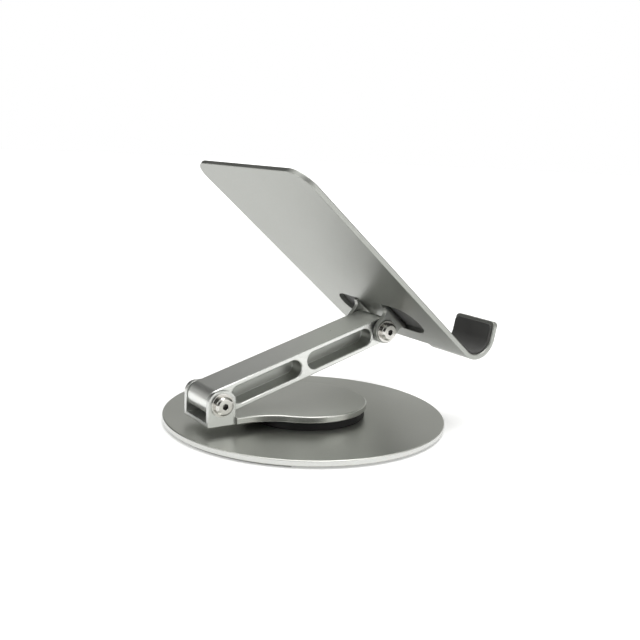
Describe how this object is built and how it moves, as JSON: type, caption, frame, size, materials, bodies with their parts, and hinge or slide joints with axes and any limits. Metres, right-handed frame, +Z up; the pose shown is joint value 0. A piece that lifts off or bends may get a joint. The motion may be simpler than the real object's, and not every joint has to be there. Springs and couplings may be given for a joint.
{
  "type": "tablet stand",
  "caption": "Folding tablet stand with a round base, turning plate, pocketed arm on friction hinges, and a padded sheet panel with hooks that hold the tablet's edge.",
  "frame": {"origin": "centre of the round base on the table surface, on the swivel axis", "axes": "+Z up, +X along both hinge axes, and the user faces the stand from -Y"},
  "size_m": [0.15, 0.161, 0.1346],
  "materials": {
    "base_aluminium": "satin bead-blasted, anodised silver",
    "plate_aluminium": "satin bead-blasted, anodised silver",
    "clevis_aluminium": "satin bead-blasted, anodised silver",
    "arm_aluminium": "satin bead-blasted, anodised silver",
    "panel_aluminium": "satin bead-blasted, anodised silver",
    "steel": "bright turned steel",
    "seat_black": "matt black",
    "feet_rubber": "matt grey",
    "silicone": "matt dark grey silicone",
    "nylon_black": "matt",
    "nylon_white": "matt"
  },
  "bodies": {
    "base": {"base_plate": "base_aluminium", "base_feet": "feet_rubber", "swivel_seat": "seat_black", "seat_screws": "steel", "pivot_cover": "feet_rubber"},
    "turntable": {"swivel_plate": "plate_aluminium", "pivot_stud": "steel", "pivot_friction_washer": "nylon_white", "pivot_washer": "steel", "spring_washer": "steel", "pivot_nut": "steel", "hinge_clevis": "clevis_aluminium", "clevis_screws": "steel", "lower_sleeve": "steel", "lower_friction_washers": "nylon_black", "lower_washers": "steel", "lower_screws": "steel"},
    "arm": {"arm": "arm_aluminium"},
    "panel": {"support_panel": "panel_aluminium", "front_pad": "silicone", "hook_pads": "silicone", "upper_sleeve": "steel", "upper_friction_washers": "nylon_black", "upper_washers": "steel", "upper_screws": "steel"}
  },
  "joints": [
    {"name": "base_swivel", "type": "hinge", "parent": "base", "child": "turntable", "pos_m": [0, 0, 0], "axis": [0, 0, 1], "continuous": true},
    {"name": "arm_hinge", "type": "hinge", "parent": "turntable", "child": "arm", "pos_m": [0, 0.0564, 0.0189], "axis": [-1, 0, 0], "range_deg": [-4, 56]},
    {"name": "panel_hinge", "type": "hinge", "parent": "arm", "child": "panel", "pos_m": [0, -0.04163, 0.04781], "axis": [1, 0, 0], "range_deg": [-52, 48]}
  ]
}
